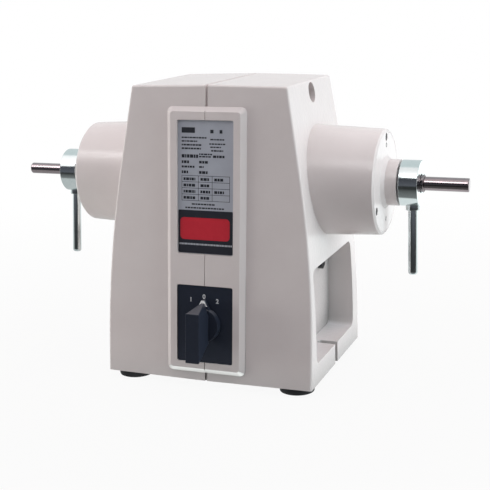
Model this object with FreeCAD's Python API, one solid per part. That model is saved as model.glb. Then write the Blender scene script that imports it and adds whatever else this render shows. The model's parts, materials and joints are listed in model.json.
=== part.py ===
"""Two-spindle dental polishing lathe, one STEP file for each separate piece.

Frame: +X along the spindle to the right-hand end, front faces -Y, +Z up.
The origin is the centre of the machine's footprint at the height of the bench.
Everything is drawn with the spindle axis at y = 0, then export() moves it back
by spindle_y. Right-hand pieces are drawn and left-hand ones mirrored.
"""
import FreeCAD, Part

import math
import os

V = FreeCAD.Vector
X_AXIS = V(1, 0, 0)
Y_AXIS = V(0, 1, 0)
Z_AXIS = V(0, 0, 1)

# Tower, two cast halves that meet at x = 0
foot_height = 8.0
tower_height = 300.0
base_half_width = 113.0
side_taper = 9.4            # degrees, upper part of the side
side_straight_top = 30.0    # the side is plumb up to here
side_curve_top = 215.0      # and straight again, at side_taper, from here
front_reach = 98.0          # front face ahead of the spindle, at the bottom
front_lean = 0.086          # metres back per metre up
back_reach = 90.0
back_lean = 0.040
casting_draft = 0.0215      # both faces close in towards the sides
wall = 7.0
top_crown = 1.5             # the top rises this much from the sides to the parting line
corner_radius = 2.5
seam_groove_half = 1.2
seam_groove_depth = 2.2

# Spindle and barrels
spindle_height = 198.0      # above the bottom of the tower
spindle_y = 12.7            # footprint centre to spindle axis
barrel_end = 165.0
barrel_end_radius = 54.0
barrel_draft = 0.046
barrel_bore = 47.0
ledge_bore = 42.0
ledge_start = 145.0
shield_seat = 157.0
shield_radius = 50.8
spigot_start = 150.0
screw_circle = 46.0
screw_radius = 2.1
screw_head = 3.7
screw_sink = 4.6            # screw seat below the shield's face

# Raised front panel, in the leaning plane of the front face
panel_half_width = 42.7
panel_bottom = 8.6
panel_top = 281.0
panel_raise = 4.5
panel_bevel = 5.0
panel_corner = 6.0
recess_half_width = 30.5
name_bottom = 132.6
name_top = 267.8
name_depth = 3.4
switch_bottom = 20.2
switch_top = 100.4
switch_ledge = 5.0
switch_depth = 4.0

# Side bays, fixing slots, tie bolts
bay_inner = 84.5
bay_front = -77.0
bay_back = 64.0
bay_floor = 22.0
bay_roof_outer = 119.5
bay_roof_inner = 112.0
bay_roof_edge = 109.5
bay_corner = 8.0
bay_rib_top = 60.0          # rib that carries on the bay's inner wall below
slot_centre = -4.5
slot_width = 9.0
slot_inner = 92.0
upper_bolt_y = 3.0
upper_bolt_z = 288.0
upper_bolt_seat = 60.0
wrench_hole = 10.3
wrench_tube = 14.0          # wall round the wrench hole, inside the tower
lower_bolt_y = (-32.0, 27.0)
lower_bolt_z = 102.0
bolt_radius = 4.0
bolt_hole = 4.5
bolt_flats = 13.0
bolt_head = 5.3
nut_height = 6.5

# Feet and underside
foot_places_right = ((91.0, -74.0), (83.0, 62.0))
foot_radius = 19.0
foot_boss = 13.0
stud_radius = 2.5
base_sheet = 1.5

# Neck, bearing and ejector, distances along the spindle
neck_radius = 23.5
neck_root = 3.5             # cone at the root of the neck
neck_end = 180.0
bearing_start = 160.0
bearing_width = 12.0
bearing_outer_radius = 20.0
bearing_inner_radius = 8.5
outer_race = 17.0           # inside of the outer race
inner_race = 11.5           # outside of the inner race
ball_path = 14.25
ball_half = 2.4
nose_start = 174.0
nose_end = 198.0
nose_radius = 17.0
nose_bore = 12.3
collar_start = 181.8
collar_end = 201.2
collar_radius = 23.4
collar_web = 2.7
sleeve_flange = (186.0, 190.0)
sleeve_end = 204.8
sleeve_radius = 9.2
sleeve_waist = 8.3
sleeve_clearance = 0.5
sleeve_travel = 4.0
cam_pin_radius = 2.0
cam_pin_tip = 19.4
cam_groove_radius = 20.2
lever_angle = 70.0
lever_x = 193.0
lever_radius = 4.8
lever_drop = 94.0           # rod's end below the spindle axis
lever_splay = 1.5           # degrees outwards
lever_rest = 3.5            # degrees that the lever hangs forward at rest
lever_seat = 20.8           # rod's inner end below the spindle axis
lever_boss = 7.2
lever_boss_end = 27.6
shaft_relief = 0.2          # shaft inside the push sleeve, below the working end's radius
shaft_relief_end = 205.0
shaft_radius_right = 7.0
shaft_radius_left = 6.0
shaft_tip = 249.5

# Motor
stator_radius = 65.0
stator_half = 32.0
rotor_radius = 35.4
air_gap = 0.6
rotor_half = 34.0
rotor_seat = 12.0
end_ring = (34.5, 24.0, 9.0)        # outer and inner radius, width
end_turn = (42.0, 60.0, 54.0, 22.0)  # bore, root radius, outer radius, length
bulkhead = (20.0, 28.0)             # web that seats the stator, along the spindle
bulkhead_half = 76.0

# Rotary switch, in the plane of the panel
knob_centre = 60.4
knob_disc = 17.5
knob_foot = 4.0
knob_disc_top = 11.0
knob_reach = 37.0
knob_pointer = 26.0         # tip of the pointer above the knob's centre
grip_top = 17.0             # front face of the grip, above and below the centre
grip_bottom = -33.5
grip_half = 7.6
switch_body_half = 22.0
switch_body_depth = 46.0
switch_shaft = 4.0

# Wiring parts on the base
capacitor_y = 34.0
capacitor_z = 24.0
capacitor_radius = 19.0
capacitor_half = 38.0
clip_gap = 0.2
clip_sheet = 1.2
clip_half = 8.0
clip_toe = 11.0
terminal_front = -24.0
terminal_depth = 20.0
terminal_height = 14.0
terminal_pitch = 9.6
terminal_ways = 5
terminal_trough = 3.0       # half the width of a wire's trough
earth_place = (50.0, 40.0)

# Cable gland at the back
gland_x = 45.0
gland_z = 30.0
gland_reach = 20.0
gland_thread = 8.0
gland_entry = 4.0
gland_pad = 14.0
gland_pad_depth = 0.9
gland_flats = 22.0
gland_collar = 5.0

axis_z = foot_height + spindle_height
lean_angle = math.atan(front_lean)
BIG = 400.0


def front_placement():
    """u along +X, v up the leaning front face, w out of it."""
    s, c = math.sin(lean_angle), math.cos(lean_angle)
    m = FreeCAD.Matrix(1, 0, 0, 0,
                       0, s, -c, -front_reach,
                       0, c, s, foot_height,
                       0, 0, 0, 1)
    return FreeCAD.Placement(m)


FRONT = front_placement()


def on_front(shape):
    placed = shape.copy()
    placed.Placement = FRONT.multiply(placed.Placement)
    return placed


def box(x0, x1, y0, y1, z0, z1):
    return Part.makeBox(x1 - x0, y1 - y0, z1 - z0, V(x0, y0, z0))


def cylinder(radius, start, direction, length):
    return Part.makeCylinder(radius, length, start, direction)


def along_x(radius, x0, x1, y=0.0, z=axis_z):
    return cylinder(radius, V(x0, y, z), X_AXIS, x1 - x0)


def tube_x(outer, inner, x0, x1, y=0.0, z=axis_z):
    return along_x(outer, x0, x1, y, z).cut(along_x(inner, x0 - 1, x1 + 1, y, z))


def polygon_face(points):
    return Part.Face(Part.makePolygon(points + [points[0]]))


def turned(profile):
    """Revolve (x, radius) points about the spindle axis."""
    face = polygon_face([V(x, 0, axis_z + r) for x, r in profile])
    return face.revolve(V(0, 0, axis_z), X_AXIS, 360)


def rounded_rectangle(u0, u1, v0, v1, radius, w):
    """Closed wire in a plane of constant w."""
    corners = ((u1 - radius, v0 + radius, -90), (u1 - radius, v1 - radius, 0),
               (u0 + radius, v1 - radius, 90), (u0 + radius, v0 + radius, 180))
    arcs = [Part.ArcOfCircle(Part.Circle(V(u, v, w), Z_AXIS, radius),
                             math.radians(a), math.radians(a + 90)) for u, v, a in corners]
    edges = []
    for i, arc in enumerate(arcs):
        following = arcs[(i + 1) % 4]
        edges.append(arc.toShape())
        edges.append(Part.LineSegment(arc.EndPoint, following.StartPoint).toShape())
    return Part.Wire(edges)


def slab(u0, u1, v0, v1, w0, w1, radius):
    """Flat plate with rounded corners, its thickness along w."""
    face = Part.Face(rounded_rectangle(u0, u1, v0, v1, radius, w0))
    return face.extrude(V(0, 0, w1 - w0))


def mirrored(shape):
    return shape.mirror(V(0, 0, 0), X_AXIS)


def group(shapes):
    return Part.makeCompound(shapes)


def hexagon(across_flats, start, direction, length):
    radius = across_flats / math.sqrt(3)
    points = [V(radius * math.cos(k * math.pi / 3), radius * math.sin(k * math.pi / 3), 0)
              for k in range(6)]
    prism = polygon_face(points).extrude(V(0, 0, length))
    prism.Placement = FreeCAD.Placement(start, FreeCAD.Rotation(Z_AXIS, direction))
    return prism


# ---------------------------------------------------------------- housing


def depth_envelope(inset, bottom, top):
    """Flat-faced block between the leaning front and back, closing in towards the side."""
    def section(x):
        shrink = inset + casting_draft * x
        front = -front_reach + shrink
        back = back_reach - shrink
        return [V(x, front + front_lean * bottom, bottom), V(x, back - back_lean * bottom, bottom),
                V(x, back - back_lean * top, top), V(x, front + front_lean * top, top)]

    near, far = section(0), section(base_half_width + 10)
    faces = [polygon_face(near), polygon_face(far)]
    for k in range(4):
        following = (k + 1) % 4
        faces.append(polygon_face([near[k], near[following], far[following], far[k]]))
    return Part.makeSolid(Part.makeShell(faces))


def tower_half(inset, bottom):
    """Right half of the tower, every face moved in by inset."""
    taper = math.radians(side_taper)
    curve = (side_curve_top - side_straight_top) / math.sin(taper)
    edge = base_half_width - inset
    top = tower_height - inset
    ridge = top + top_crown

    def side(angle):
        return V(edge - curve * (1 - math.cos(angle)), -BIG / 2,
                 side_straight_top + curve * math.sin(angle))

    lean_start = side(taper)
    top_x = lean_start.x - (top - side_curve_top) * math.tan(taper)
    low = V(edge, -BIG / 2, side_straight_top)
    outline = Part.Wire([
        Part.LineSegment(V(0, -BIG / 2, bottom), V(edge, -BIG / 2, bottom)).toShape(),
        Part.LineSegment(V(edge, -BIG / 2, bottom), low).toShape(),
        Part.Arc(low, side(taper / 2), lean_start).toShape(),
        Part.LineSegment(lean_start, V(top_x, -BIG / 2, top)).toShape(),
        Part.LineSegment(V(top_x, -BIG / 2, top), V(0, -BIG / 2, ridge)).toShape(),
        Part.LineSegment(V(0, -BIG / 2, ridge), V(0, -BIG / 2, bottom)).toShape()])
    across = Part.Face(outline).extrude(V(0, BIG, 0))

    half = across.common(depth_envelope(inset, bottom, ridge + 1))
    half.translate(V(0, 0, foot_height))
    return half.Solids[0]


def rounded_tower_half():
    """Outer skin with its upright corners and top edges rounded."""
    half = tower_half(0, 0)
    top = foot_height + tower_height
    edges = []
    for edge in half.Edges:
        ends = [v.Point for v in edge.Vertexes]
        on_seam = all(p.x < 0.1 for p in ends)
        at_bottom = all(p.z < foot_height + 0.1 for p in ends)
        level = abs(ends[0].z - ends[-1].z) < 0.1
        at_top = all(p.z > top - 0.1 for p in ends)
        if on_seam or at_bottom or (level and not at_top):
            continue
        edges.append(edge)
    return half.makeFillet(corner_radius, edges)


def barrel_radius(x):
    return barrel_end_radius + (barrel_end - x) * barrel_draft


def barrel():
    """Tapered skin of a motor barrel with a bevelled rim, solid until it is bored."""
    inner = 60.0
    rim = 2.0
    return turned([(inner, 0), (inner, barrel_radius(inner)),
                   (barrel_end - rim, barrel_radius(barrel_end - rim)),
                   (barrel_end, barrel_end_radius - rim), (barrel_end, 0)])


def panel():
    """Raised panel with a sloping bevel all round."""
    root = -3.0
    foot = rounded_rectangle(-panel_half_width, panel_half_width, panel_bottom, panel_top,
                             panel_corner, 0)
    crown = rounded_rectangle(-panel_half_width + panel_bevel, panel_half_width - panel_bevel,
                              panel_bottom + panel_bevel, panel_top - panel_bevel,
                              panel_corner - 3, panel_raise)
    below = slab(-panel_half_width, panel_half_width, panel_bottom, panel_top,
                 root, 0, panel_corner)
    raised = Part.makeLoft([foot, crown], True, True)
    return on_front(below.fuse(raised))


def bay(grow):
    """Space of the side bay, or that space grown by a wall's thickness."""
    y0, y1 = bay_front - grow, bay_back + grow
    z0, z1 = bay_floor - grow, bay_roof_outer + grow
    x0 = bay_inner - grow
    profile = rounded_rectangle(y0, y1, z0, z1, bay_corner, 0)
    space = Part.Face(profile).extrude(V(0, 0, BIG))
    turn = FreeCAD.Placement(FreeCAD.Matrix(0, 0, 1, x0,
                                            1, 0, 0, 0,
                                            0, 1, 0, foot_height,
                                            0, 0, 0, 1))
    space.Placement = turn
    rise = bay_roof_outer - bay_roof_inner
    run = bay_roof_edge - bay_inner
    low = bay_roof_inner + grow + foot_height
    roof = polygon_face([V(x0 - 1, y0 - 1, low - rise / run), V(x0 + BIG, y0 - 1, low + rise / run * BIG),
                         V(x0 - 1, y0 - 1, low + BIG)])
    return space.cut(roof.extrude(V(0, y1 - y0 + 2, 0)))


def fixing_slot():
    radius = slot_width / 2
    z0 = foot_height - 1
    end = cylinder(radius, V(slot_inner + radius, slot_centre, z0), Z_AXIS, bay_floor + 2)
    run = box(slot_inner + radius, BIG, slot_centre - radius, slot_centre + radius,
              z0, z0 + bay_floor + 2)
    return end.fuse(run)


def bolt_axes():
    """(y, z, seat) of the three bolts that hold the halves together."""
    axes = [(upper_bolt_y, upper_bolt_z, upper_bolt_seat)]
    axes += [(y, lower_bolt_z, bay_inner) for y in lower_bolt_y]
    return axes


def inside_of_half():
    """Space inside a half: tower cavity without the bay, and the barrel's bores."""
    hollow = tower_half(wall, -1.0)
    ribs = box(bay_inner - wall, bay_inner, -BIG, BIG, foot_height + base_sheet,
               foot_height + bay_rib_top)
    hollow = hollow.cut(bay(wall)).cut(ribs)
    hollow = hollow.fuse(along_x(barrel_bore, 50, ledge_start))
    hollow = hollow.fuse(along_x(ledge_bore, ledge_start - 1, shield_seat + 1))
    return hollow.fuse(along_x(shield_radius + 0.2, shield_seat, barrel_end + 5))


def stator_bulkhead(hollow):
    """Web across the cavity with a round seat for the motor's core."""
    web = box(bulkhead[0], bulkhead[1], -BIG, BIG, axis_z - bulkhead_half, axis_z + bulkhead_half)
    web = web.common(hollow)
    return web.cut(along_x(stator_radius, 0, 60))


def bosses(skin):
    """Foot bosses and the tube round the wrench hole."""
    pieces = []
    for x, y in foot_places_right:
        start = V(x, y, foot_height + base_sheet)
        pieces.append(cylinder(foot_boss, start, Z_AXIS, bay_floor - 6))
    tube_start = upper_bolt_seat - 12
    pieces.append(along_x(wrench_tube, tube_start, 100, upper_bolt_y, foot_height + upper_bolt_z))
    whole = pieces[0].multiFuse(pieces[1:])
    return whole.common(skin)


def housing_holes():
    cuts = []
    for y, z, seat in bolt_axes():
        height = foot_height + z
        cuts.append(along_x(bolt_hole, 30, seat + 1, y, height))
        if seat == upper_bolt_seat:
            cuts.append(along_x(wrench_hole, seat, BIG, y, height))
    for x, y in foot_places_right:
        cuts.append(cylinder(stud_radius, V(x, y, foot_height - 1), Z_AXIS, 14))
    for y, z in shield_screw_places():
        cuts.append(along_x(screw_radius, shield_seat - 10, shield_seat + 1, y, z))
    return cuts


def panel_cuts():
    """Name plate recess, switch recess and the opening behind the switch."""
    face = panel_raise + 5
    name = slab(-recess_half_width, recess_half_width, name_bottom, name_top,
                panel_raise - name_depth, face, 2.0)
    switch = slab(-recess_half_width, recess_half_width, switch_bottom, switch_top,
                  panel_raise - switch_depth, face, 2.0)
    opening = slab(-recess_half_width + switch_ledge, recess_half_width - switch_ledge,
                   switch_bottom + switch_ledge, switch_top - switch_ledge,
                   -wall - 8, face, 2.0)
    parting = slab(-0.3, 0.3, panel_bottom, panel_top, panel_raise - 1.6, face, 0.1)
    return [on_front(s) for s in (name, switch, opening, parting)]


def seam_groove():
    """Groove along the parting line on the outside of the tower."""
    strip = box(-1, seam_groove_half, -BIG, BIG, foot_height - 1, BIG)
    return strip.cut(tower_half(seam_groove_depth, -5.0))


def housing_half():
    tower = rounded_tower_half()
    core = tower.cut(seam_groove())
    skin = core.fuse(barrel()).fuse(panel().common(box(0, BIG, -BIG, BIG, 0, BIG)))
    skin = skin.removeSplitter()
    skin = skin.cut(bay(0)).cut(fixing_slot())
    hollow = inside_of_half()
    shell = skin.cut(hollow)
    shell = shell.fuse(stator_bulkhead(hollow)).fuse(bosses(tower).cut(bay(0)))
    for cut in panel_cuts() + housing_holes():
        shell = shell.cut(cut)
    return shell.removeSplitter().Solids[0]


def gland_hole():
    """Hole for the cable gland and the flat pad round it."""
    z = foot_height + gland_z
    hole = cylinder(gland_thread + 0.2, V(gland_x, 0, z), Y_AXIS, BIG)
    return hole.fuse(cylinder(gland_pad, V(gland_x, gland_seat_y(), z), Y_AXIS, BIG))


# ---------------------------------------------------------------- end shields, bearings


def shield_screw_places():
    angles = [math.radians(a) for a in (90, 210, 330)]
    return [(screw_circle * math.cos(a), axis_z + screw_circle * math.sin(a)) for a in angles]


def end_shield():
    """Cover in the barrel's mouth with spigot, neck and bearing seat."""
    seat_end = bearing_start + bearing_width + 1.2
    shield = turned([
        (spigot_start, ledge_bore), (shield_seat, ledge_bore), (shield_seat, shield_radius),
        (barrel_end, shield_radius),
        (barrel_end, neck_radius + neck_root), (barrel_end + neck_root, neck_radius),
        (neck_end, neck_radius), (neck_end, 15),
        (nose_start, 15), (nose_start, nose_bore), (seat_end, nose_bore),
        (seat_end, bearing_outer_radius), (spigot_start, bearing_outer_radius)])
    for y, z in shield_screw_places():
        shield = shield.cut(along_x(screw_radius + 0.3, spigot_start, barrel_end + 1, y, z))
        shield = shield.cut(along_x(screw_head + 0.4, barrel_end - screw_sink, barrel_end + 1, y, z))
    return shield


def shield_screws():
    screws = []
    for y, z in shield_screw_places():
        head_start = barrel_end - screw_sink
        shank = along_x(screw_radius, shield_seat - 8, head_start, y, z)
        head = along_x(screw_head, head_start, head_start + 4, y, z)
        screws.append(shank.fuse(head).removeSplitter())
    return group(screws)


def bearing_outer():
    return tube_x(bearing_outer_radius, outer_race, bearing_start, bearing_start + bearing_width)


def bearing_inner():
    return tube_x(inner_race, bearing_inner_radius, bearing_start, bearing_start + bearing_width)


def ball_row():
    """Balls and cage of a bearing as one plain ring between its races."""
    shoulder = 2
    return tube_x(ball_path + ball_half, ball_path - ball_half,
                  bearing_start + shoulder, bearing_start + bearing_width - shoulder)


def bearing_washer():
    start = bearing_start + bearing_width
    return tube_x(bearing_outer_radius - 0.1, 16.5, start, start + 1.2)


# ---------------------------------------------------------------- ejector


def cam_pin_sides():
    return (-1, 1)


def cam_nose():
    """Steel nose on the neck: it carries the collar and guides the sleeve."""
    nose = turned([(nose_start, nose_bore), (nose_start, 15), (neck_end, 15),
                   (neck_end, nose_radius), (nose_end, nose_radius), (nose_end, nose_bore)])
    middle = sum(sleeve_flange) / 2
    half = 2.4
    for side in cam_pin_sides():
        y0, y1 = sorted((side * 5, side * 25))
        nose = nose.cut(box(middle - half, middle + sleeve_travel + half, y0, y1,
                            axis_z - half, axis_z + half))
    return nose


def push_sleeve(shaft_radius):
    """Sleeve round a working end of the spindle; its lip pushes a tool off the shaft."""
    start, end = sleeve_flange
    bore = shaft_radius + sleeve_clearance
    lip = sleeve_end - 1.2
    sleeve = turned([(start, bore), (start, nose_bore - 0.3), (end, nose_bore - 0.3),
                     (end, sleeve_waist), (lip - 2, sleeve_waist), (lip, sleeve_radius),
                     (lip + 0.5, sleeve_radius), (sleeve_end, bore + 0.6), (sleeve_end, bore)])
    for side in cam_pin_sides():
        hole = cylinder(cam_pin_radius, V((start + end) / 2, side * 9, axis_z), V(0, side, 0), 20)
        sleeve = sleeve.cut(hole)
    return sleeve


def cam_pins():
    """Two pins in the sleeve's flange that reach into the collar's cam grooves."""
    middle = sum(sleeve_flange) / 2
    length = cam_pin_tip - 9
    return group([cylinder(cam_pin_radius, V(middle, side * 9, axis_z), V(0, side, 0), length)
                  for side in cam_pin_sides()])


def cam_groove():
    """Helical groove for one pin, lofted through radial sections."""
    steps = 8
    middle = sum(sleeve_flange) / 2
    half = cam_pin_radius + 0.4
    overrun = math.degrees(half / nose_radius)
    sections = []
    for k in range(steps + 1):
        degrees = -overrun + (lever_angle + 2 * overrun) * k / steps
        x = middle + sleeve_travel * degrees / lever_angle
        way = V(0, math.cos(math.radians(degrees)), math.sin(math.radians(degrees)))
        corners = []
        for radius, offset in ((15, -half), (15, half), (cam_groove_radius, half),
                               (cam_groove_radius, -half)):
            corners.append(V(x + offset, radius * way.y, axis_z + radius * way.z))
        sections.append(Part.makePolygon(corners + [corners[0]]))
    return Part.makeLoft(sections, True, True)


def ejector_collar():
    web = collar_end - collar_web
    edge = 0.8
    collar = turned([
        (collar_start, nose_radius + 0.3), (collar_start, collar_radius),
        (collar_end - edge, collar_radius),
        (collar_end, collar_radius - edge), (collar_end, sleeve_radius + 0.4),
        (web, sleeve_radius + 0.4), (web, nose_radius + 0.3)])
    groove = cam_groove()
    collar = collar.cut(groove)
    opposite = groove.copy()
    opposite.rotate(V(0, 0, axis_z), X_AXIS, 180)
    collar = collar.cut(opposite).fuse(at_lever(lever_boss, 0, lever_boss_end))
    return collar.cut(at_lever(lever_radius, 0, lever_drop)).removeSplitter().Solids[0]


def at_lever(radius, end_taper, end):
    """Round bar on the lever's line from its seat in the collar, with a coned tip.

    The line leans outwards at the bottom and hangs a little forward at rest.
    """
    seat = V(lever_x, 0, axis_z - lever_seat)
    length = end - lever_seat
    bar = cylinder(radius, seat, V(0, 0, -1), length - end_taper)
    if end_taper:
        start = seat - V(0, 0, length - end_taper)
        tip = Part.makeCone(radius, radius - end_taper, end_taper, start, V(0, 0, -1))
        bar = bar.fuse(tip)
    bar.rotate(seat, Y_AXIS, -lever_splay)
    bar.rotate(V(0, 0, axis_z), X_AXIS, -lever_rest)
    return bar


def ejector_lever():
    return at_lever(lever_radius, 2.0, lever_drop).removeSplitter().Solids[0]


def lip_seal():
    return tube_x(nose_bore, bearing_inner_radius + 0.08, nose_start, nose_start + 4)


# ---------------------------------------------------------------- motor


def spindle_half(shaft_radius):
    """Stepped shaft from the middle of the rotor to one working end."""
    steps = [(bearing_start - 2, rotor_seat), (neck_end, bearing_inner_radius),
             (shaft_relief_end, shaft_radius - shaft_relief)]
    profile = [(0, 0)]
    x = 0.0
    for end, radius in steps:
        profile += [(x, radius), (end, radius)]
        x = end
    profile += [(x, shaft_radius), (shaft_tip - 1, shaft_radius),
                (shaft_tip, shaft_radius - 1), (shaft_tip, 0)]
    return turned(profile)


def spindle():
    """One shaft with a working end on each side, the left one thinner."""
    right = spindle_half(shaft_radius_right)
    left = mirrored(spindle_half(shaft_radius_left))
    return right.fuse(left).removeSplitter()


def rotor_core():
    return tube_x(rotor_radius, rotor_seat, -rotor_half, rotor_half)


def rotor_end_rings():
    """Cast rings that close the cage at both ends of the core."""
    outer, inner, width = end_ring
    ring = tube_x(outer, inner, rotor_half, rotor_half + width)
    return group([ring, mirrored(ring)])


def stator_core():
    return tube_x(stator_radius, rotor_radius + air_gap, -stator_half, stator_half)


def winding():
    """End turns of the winding, a rounded ring against the core."""
    bore, root, outer, length = end_turn
    start = stator_half + 0.3
    return turned([(start, bore), (start, root), (start + length, outer), (start + length, bore)])


# ---------------------------------------------------------------- switch and name plate


def name_plate():
    floor = panel_raise - name_depth
    edge = recess_half_width - 0.4
    return on_front(slab(-edge, edge, name_bottom + 0.4, name_top - 0.4, floor, floor + 1, 1.6))


def switch_plate():
    floor = panel_raise - switch_depth
    edge = recess_half_width - 0.3
    plate = slab(-edge, edge, switch_bottom + 0.3, switch_top - 0.3, floor, floor + 3, 1.7)
    plate = plate.cut(cylinder(switch_shaft + 0.3, V(0, knob_centre, -5), Z_AXIS, 20))
    return on_front(plate)


def switch_body():
    """Stack of contact decks behind the plate."""
    decks = 4
    half = switch_body_half
    floor = panel_raise - switch_depth
    pitch = switch_body_depth / decks
    inner = half - 2
    body = box(-inner, inner, knob_centre - inner, knob_centre + inner, floor - switch_body_depth, floor)
    for k in range(decks):
        w1 = floor - k * pitch
        body = body.fuse(box(-half, half, knob_centre - half, knob_centre + half,
                             w1 - pitch + 1.5, w1))
    body = body.cut(cylinder(switch_shaft + 0.3, V(0, knob_centre, -80), Z_AXIS, 100))
    return on_front(body.removeSplitter())


def switch_spindle():
    floor = panel_raise - switch_depth
    return on_front(cylinder(switch_shaft, V(0, knob_centre, floor - switch_body_depth + 2),
                             Z_AXIS, switch_body_depth + 18))


def knob_section(low, shoulder, tip, half, tip_half, w):
    """Six-sided outline of the handle, pointed at the top."""
    v = knob_centre
    points = [V(-half, v + low, w), V(half, v + low, w), V(half, v + shoulder, w),
              V(tip_half, v + tip, w), V(-tip_half, v + tip, w), V(-half, v + shoulder, w)]
    return Part.makePolygon(points + [points[0]])


def switch_knob():
    """Handle of the rotary switch: round foot, pointer and overhanging bar."""
    disc = cylinder(knob_disc, V(0, knob_centre, knob_foot), Z_AXIS, knob_disc_top - knob_foot)
    pointer = Part.Face(knob_section(0, 10, knob_pointer, 8, 1.2, knob_foot))
    pointer = pointer.extrude(V(0, 0, knob_disc_top - knob_foot - 2))
    root = knob_section(-17, 11, knob_pointer - 1, grip_half - 0.6, 1.5, knob_disc_top - 3)
    front = knob_section(grip_bottom, grip_top, grip_top + 0.4, grip_half, 5.0, knob_reach)
    bar = Part.makeLoft([root, front], True, True)
    knob = disc.fuse(pointer).fuse(bar).removeSplitter()
    floor = panel_raise - switch_depth
    socket = cylinder(switch_shaft, V(0, knob_centre, 0), Z_AXIS, floor + 20)
    return on_front(knob.cut(socket))


# ---------------------------------------------------------------- base, fasteners, wiring parts


def foot_places():
    return [(side * x, y) for side in (-1, 1) for x, y in foot_places_right]


def feet():
    return group([Part.makeCone(foot_radius - 1.2, foot_radius, foot_height, V(x, y, 0), Z_AXIS)
                  for x, y in foot_places()])


def foot_studs():
    """Threaded studs moulded into the feet, screwed through the base plate into the bosses."""
    return group([cylinder(stud_radius, V(x, y, foot_height), Z_AXIS, 12)
                  for x, y in foot_places()])


def base_plate():
    """Sheet that closes the tower from below, held by the feet, slotted like the casting."""
    gap = 0.8
    z0 = foot_height
    half = tower_half(wall + gap, -2.0).common(box(0, BIG, -BIG, BIG, z0, z0 + base_sheet))
    half = half.cut(fixing_slot())
    plate = half.fuse(mirrored(half)).removeSplitter()
    for x, y in foot_places():
        plate = plate.cut(cylinder(stud_radius, V(x, y, z0 - 1), Z_AXIS, 5))
    return plate.Solids[0]


def tie_bolts():
    bolts = []
    for y, z, seat in bolt_axes():
        height = foot_height + z
        shank = along_x(bolt_radius, -seat - 9, seat, y, height)
        head = hexagon(bolt_flats, V(seat, y, height), X_AXIS, bolt_head)
        bolts.append(shank.fuse(head).removeSplitter())
    return group(bolts)


def tie_nuts():
    nuts = []
    for y, z, seat in bolt_axes():
        height = foot_height + z
        nut = hexagon(bolt_flats, V(-seat, y, height), V(-1, 0, 0), nut_height)
        nuts.append(nut.cut(along_x(bolt_radius, -seat - 20, -seat + 1, y, height)))
    return group(nuts)


def run_capacitor():
    return along_x(capacitor_radius, -capacitor_half, capacitor_half,
                   capacitor_y, foot_height + capacitor_z)


def capacitor_clip():
    """Strap over the can with a foot on each side."""
    y = capacitor_y
    z = foot_height + capacitor_z
    floor = foot_height + base_sheet
    inner = capacitor_radius + clip_gap
    outer = inner + clip_sheet
    ring = tube_x(outer, inner, -clip_half, clip_half, y, z)
    ring = ring.cut(box(-clip_half - 1, clip_half + 1, y - outer - 1, y + outer + 1, floor - 5, z))
    pieces = []
    for side in (-1, 1):
        legs = sorted((y + side * inner, y + side * outer))
        toes = sorted((y + side * inner, y + side * (capacitor_radius + clip_toe)))
        pieces.append(box(-clip_half, clip_half, legs[0], legs[1], floor, z))
        pieces.append(box(-clip_half, clip_half, toes[0], toes[1], floor, floor + clip_sheet))
    return ring.multiFuse(pieces).removeSplitter()


def terminal_block():
    """Block with one open trough for each wire."""
    floor = foot_height + base_sheet
    half = terminal_ways * terminal_pitch / 2
    back = terminal_front + terminal_depth
    block = box(-half, half, terminal_front, back, floor, floor + terminal_height)
    for k in range(terminal_ways):
        x = (k - (terminal_ways - 1) / 2) * terminal_pitch
        block = block.cut(box(x - terminal_trough, x + terminal_trough, terminal_front - 1, back + 1,
                              floor + terminal_height / 2, floor + terminal_height + 1))
    return block


def earth_screw():
    x, y = earth_place
    return hexagon(8, V(x, y, foot_height + base_sheet), Z_AXIS, 5)


def gland_seat_y():
    """Depth of the flat pad that is spot-faced in the back wall for the gland."""
    return back_reach - back_lean * gland_z - casting_draft * gland_x - gland_pad_depth


def cable_gland():
    """Gland in the back wall: thread, hexagon and domed nut with a round entry."""
    z = foot_height + gland_z
    face = gland_seat_y()
    dome_start = face + gland_collar
    thread = cylinder(gland_thread, V(gland_x, face - 20, z), Y_AXIS, 21)
    hexed = hexagon(gland_flats, V(gland_x, face, z), Y_AXIS, gland_collar)
    dome = Part.makeCone(10.6, 7.4, gland_reach - gland_collar, V(gland_x, dome_start, z), Y_AXIS)
    whole = thread.fuse(hexed).fuse(dome).removeSplitter()
    return whole.cut(cylinder(gland_entry, V(gland_x, 0, z), Y_AXIS, BIG))


def gland_nut():
    z = foot_height + gland_z
    start = gland_seat_y() - wall - 4.6
    nut = hexagon(gland_flats - 1, V(gland_x, start, z), Y_AXIS, 4.5)
    return nut.cut(cylinder(gland_thread, V(gland_x, start - 5, z), Y_AXIS, 20))


# ---------------------------------------------------------------- assembly


def both_sides(nodes, name, shape):
    nodes[name + "_right"] = shape
    nodes[name + "_left"] = mirrored(shape)


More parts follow.
